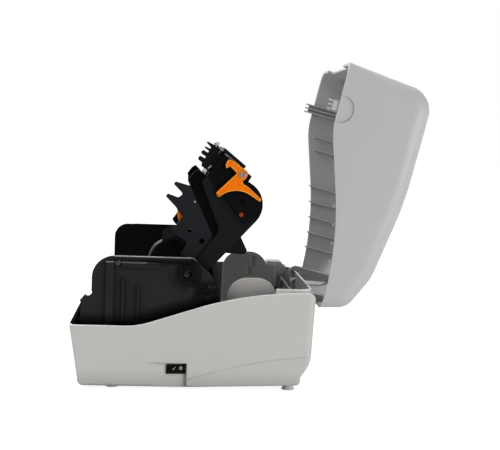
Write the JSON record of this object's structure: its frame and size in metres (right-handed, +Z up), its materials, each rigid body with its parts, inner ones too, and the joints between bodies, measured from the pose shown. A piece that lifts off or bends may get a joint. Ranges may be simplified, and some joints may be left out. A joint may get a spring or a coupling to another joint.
{
  "type": "thermal transfer label printer",
  "caption": "Desktop thermal transfer label printer with hinged lid, swing-up print module, ribbon hubs, latch levers, platen gear drive, sliding roll holders and rocker switch.",
  "frame": {"origin": "on the desk under the middle of the opened printer's box", "axes": "+X to the printer's right side as seen by someone facing its front, where the switch is; +Y to the rear; +Z up"},
  "size_m": [0.226, 0.4101, 0.3853],
  "materials": {
    "base_plastic": "fine moulded texture",
    "lid_plastic": "fine moulded texture",
    "bin_plastic": "satin",
    "black_plastic": "satin",
    "orange_plastic": "smooth",
    "grey_plastic": "satin",
    "gear_plastic": "satin",
    "rubber_black": "matt",
    "steel": "ground",
    "aluminium": "milled",
    "ceramic": "glazed",
    "board": "lacquered",
    "cable_grey": "satin",
    "lens": "clear",
    "bronze": "sintered"
  },
  "bodies": {
    "base": {"base_housing": "base_plastic", "bottom_plate": "base_plastic", "main_board": "board", "feet": "rubber_black", "switch_body": "black_plastic", "port_panel": "steel", "usb_socket": "steel", "serial_socket": "steel", "power_jack": "black_plastic", "media_bin": "bin_plastic", "bin_shelf": "bin_plastic", "media_deck": "black_plastic", "label_sensor": "black_plastic", "front_bezel": "black_plastic", "tear_bar": "steel", "side_ledges": "black_plastic", "platen_bushes": "bronze", "stepper_motor": "steel", "hinge_pins": "steel", "module_pins": "steel", "latch_studs": "steel", "head_cable": "cable_grey", "frame_plate_right": "black_plastic", "frame_plate_left": "black_plastic"},
    "lid": {"lid_shell": "lid_plastic", "lid_tabs": "lid_plastic", "lid_hinge_arms": "lid_plastic", "status_lens": "lens"},
    "feed_button": {"feed_button": "grey_plastic"},
    "print_module": {"module_side_right": "black_plastic", "module_side_left": "black_plastic", "module_cover": "black_plastic", "front_plate": "black_plastic", "head_carrier": "black_plastic", "heat_sink": "aluminium", "print_head": "ceramic", "guide_comb": "black_plastic", "supply_bracket_right": "black_plastic", "supply_bracket_left": "black_plastic", "ribbon_tray": "black_plastic"},
    "latch": {"latch_lever_right": "orange_plastic", "latch_lever_left": "orange_plastic", "latch_shaft": "steel"},
    "supply_right": {"supply_hub_right": "orange_plastic"},
    "supply_left": {"supply_hub_left": "orange_plastic"},
    "takeup_right": {"takeup_hub_right": "orange_plastic"},
    "takeup_left": {"takeup_hub_left": "orange_plastic"},
    "platen": {"platen_shaft": "steel", "platen_rubber": "rubber_black", "platen_gear": "gear_plastic"},
    "idler": {"idler_gear": "gear_plastic"},
    "pinion": {"motor_pinion": "steel"},
    "holder_right": {"media_holder_right": "grey_plastic"},
    "holder_left": {"media_holder_left": "grey_plastic"},
    "centring_pinion": {"holder_pinion": "gear_plastic"},
    "rocker": {"switch_rocker": "black_plastic"}
  },
  "joints": [
    {"name": "lid_hinge", "type": "hinge", "parent": "base", "child": "lid", "pos_m": [0, 0.0744, 0.106], "axis": [1, 0, 0], "range_deg": [0, 103]},
    {"name": "module_hinge", "type": "hinge", "parent": "base", "child": "print_module", "pos_m": [0, -0.0552, 0.1335], "axis": [1, 0, 0], "range_deg": [0, 122], "deforming": ["head_cable"]},
    {"name": "latch_pivot", "type": "hinge", "parent": "print_module", "child": "latch", "pos_m": [0, -0.00954, 0.2513], "axis": [1, 0, 0], "range_deg": [0, 8], "stiffness_Nm_per_rad": 0.4},
    {"name": "supply_right_spin", "type": "hinge", "parent": "print_module", "child": "supply_right", "pos_m": [0, -0.06585, 0.20194], "axis": [1, 0, 0], "continuous": true},
    {"name": "supply_left_spin", "type": "hinge", "parent": "print_module", "child": "supply_left", "pos_m": [0, -0.06585, 0.20194], "axis": [1, 0, 0], "continuous": true},
    {"name": "takeup_right_spin", "type": "hinge", "parent": "print_module", "child": "takeup_right", "pos_m": [0, -0.00952, 0.20377], "axis": [1, 0, 0], "continuous": true},
    {"name": "takeup_left_spin", "type": "hinge", "parent": "print_module", "child": "takeup_left", "pos_m": [0, -0.00952, 0.20377], "axis": [1, 0, 0], "continuous": true},
    {"name": "platen_spin", "type": "hinge", "parent": "base", "child": "platen", "pos_m": [0, -0.1792, 0.065], "axis": [1, 0, 0], "continuous": true},
    {"name": "idler_spin", "type": "hinge", "parent": "base", "child": "idler", "pos_m": [0, -0.16896, 0.0411], "axis": [1, 0, 0], "continuous": true},
    {"name": "pinion_spin", "type": "hinge", "parent": "base", "child": "pinion", "pos_m": [0, -0.1492, 0.038], "axis": [1, 0, 0], "continuous": true},
    {"name": "holder_right_slide", "type": "slide", "parent": "base", "child": "holder_right", "axis": [-1, 0, 0], "range_m": [0, 0.04]},
    {"name": "holder_left_slide", "type": "slide", "parent": "base", "child": "holder_left", "axis": [1, 0, 0], "range_m": [0, 0.04]},
    {"name": "centring_spin", "type": "hinge", "parent": "base", "child": "centring_pinion", "pos_m": [0, 0.0073, 0.0311], "axis": [0, 0, 1], "range_deg": [0, 255]},
    {"name": "feed_press", "type": "slide", "parent": "lid", "child": "feed_button", "axis": [0, -0.9744, 0.225], "range_m": [0, 0.001], "stiffness_N_per_m": 400},
    {"name": "power_rocker", "type": "hinge", "parent": "base", "child": "rocker", "pos_m": [0.10533, -0.08181, 0.0246], "axis": [0, 0, 1], "range_deg": [0, 7]}
  ],
  "couplings": [
    {"joint": "module_hinge", "follows": "lid_hinge", "ratio": 1.1845},
    {"joint": "idler_spin", "follows": "platen_spin", "ratio": -0.85714},
    {"joint": "pinion_spin", "follows": "platen_spin", "ratio": 2},
    {"joint": "holder_left_slide", "follows": "holder_right_slide", "ratio": 1},
    {"joint": "centring_spin", "follows": "holder_right_slide", "rad_per_m": 111.11}
  ]
}
